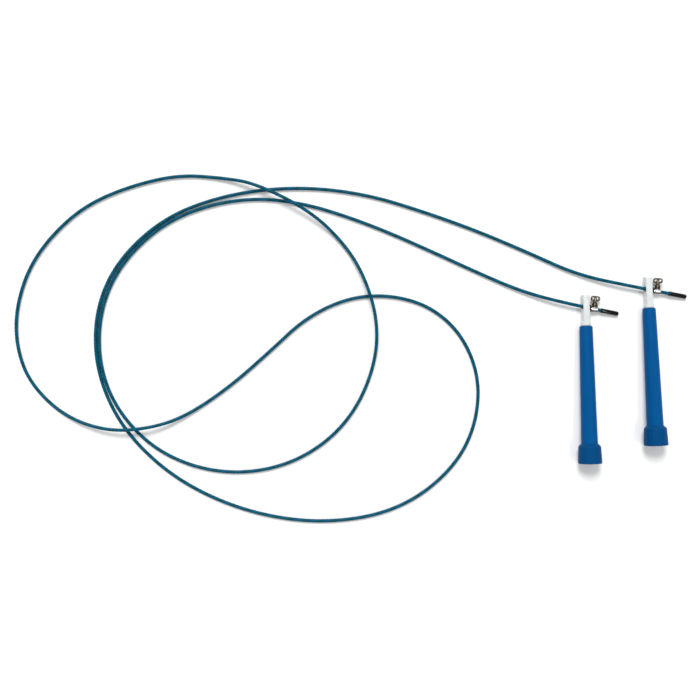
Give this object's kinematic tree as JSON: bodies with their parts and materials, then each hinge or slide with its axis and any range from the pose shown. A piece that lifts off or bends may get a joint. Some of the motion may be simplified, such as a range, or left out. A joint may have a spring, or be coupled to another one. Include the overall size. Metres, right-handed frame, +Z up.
{
  "type": "jump rope",
  "caption": "Speed jump rope with slim tapered swivel handles, flared ends and a long thin coated cable held by small wing-screw clamps.",
  "frame": {"origin": "bottom centre of the box round the two handles, on the floor that the rope lies on", "axes": "+Y along the handles towards their tips, +X to the right, away from the cable's loops, +Z up from the floor"},
  "size_m": [0.5966, 0.3093, 0.021],
  "materials": {
    "grip_blue": "satin moulded plastic, deep blue",
    "nylon_white": "smooth off-white nylon",
    "cable_blue": "glossy blue-green coating over twisted wire",
    "cap_black": "glossy black vinyl",
    "rubber_black": "matt black rubber",
    "bright_nickel": "bright nickel plate",
    "dark_nickel": "dark nickel plate, worn lighter on its edges",
    "bearing_steel": "polished bearing steel"
  },
  "bodies": {
    "rope": {"cable": "cable_blue", "left_swivel_stem": "nylon_white", "left_front_bearing_inner": "bearing_steel", "left_rear_bearing_inner": "bearing_steel", "left_spacer": "bearing_steel", "left_axle_washer": "bearing_steel", "left_axle_screw": "bearing_steel", "left_tail_washer": "rubber_black", "left_end_cap": "cap_black", "right_swivel_stem": "nylon_white", "right_front_bearing_inner": "bearing_steel", "right_rear_bearing_inner": "bearing_steel", "right_spacer": "bearing_steel", "right_axle_washer": "bearing_steel", "right_axle_screw": "bearing_steel", "right_tail_washer": "rubber_black", "right_end_cap": "cap_black"},
    "left_handle": {"left_grip": "grip_blue", "left_butt_cap": "grip_blue", "left_front_bearing_outer": "bearing_steel", "left_rear_bearing_outer": "bearing_steel", "left_front_bearing_balls": "bearing_steel", "left_rear_bearing_balls": "bearing_steel"},
    "left_clamp": {"left_clamp_body": "bright_nickel"},
    "left_screw": {"left_clamp_screw": "dark_nickel"},
    "left_wings": {"left_wing_head": "dark_nickel"},
    "right_handle": {"right_grip": "grip_blue", "right_butt_cap": "grip_blue", "right_front_bearing_outer": "bearing_steel", "right_rear_bearing_outer": "bearing_steel", "right_front_bearing_balls": "bearing_steel", "right_rear_bearing_balls": "bearing_steel"},
    "right_clamp": {"right_clamp_body": "bright_nickel"},
    "right_screw": {"right_clamp_screw": "dark_nickel"},
    "right_wings": {"right_wing_head": "dark_nickel"}
  },
  "joints": [
    {"name": "left_handle_spin", "type": "hinge", "parent": "rope", "child": "left_handle", "pos_m": [-0.029, -0.0818, 0.01053], "axis": [-0.0209, 0.999, -0.0403], "continuous": true},
    {"name": "left_clamp_slide", "type": "slide", "parent": "rope", "child": "left_clamp", "axis": [0.9774, -0.1855, -0.1011], "range_m": [0, 0.0028]},
    {"name": "left_screw_travel", "type": "slide", "parent": "left_clamp", "child": "left_screw", "axis": [0.0855, 0.9963, 0], "range_m": [0, 0.0015]},
    {"name": "left_wing_turn", "type": "hinge", "parent": "left_screw", "child": "left_wings", "pos_m": [-0.02357, 0.05413, 0.00413], "axis": [0.0855, 0.9963, 0], "range_deg": [0, 1081]},
    {"name": "right_handle_spin", "type": "hinge", "parent": "rope", "child": "right_handle", "pos_m": [0.029, -0.0659, 0.01053], "axis": [-0.0398, 0.9984, -0.0403], "continuous": true},
    {"name": "right_clamp_slide", "type": "slide", "parent": "rope", "child": "right_clamp", "axis": [0.9802, -0.179, -0.085], "range_m": [0, 0.0077]},
    {"name": "right_screw_travel", "type": "slide", "parent": "right_clamp", "child": "right_screw", "axis": [0.0723, 0.9974, 0], "range_m": [0, 0.0015]},
    {"name": "right_wing_turn", "type": "hinge", "parent": "right_screw", "child": "right_wings", "pos_m": [0.03186, 0.07, 0.00426], "axis": [0.0723, 0.9974, 0], "range_deg": [0, 1081]}
  ],
  "couplings": [
    {"joint": "left_wing_turn", "follows": "left_screw_travel", "rad_per_m": 12566},
    {"joint": "right_wing_turn", "follows": "right_screw_travel", "rad_per_m": 12566}
  ]
}
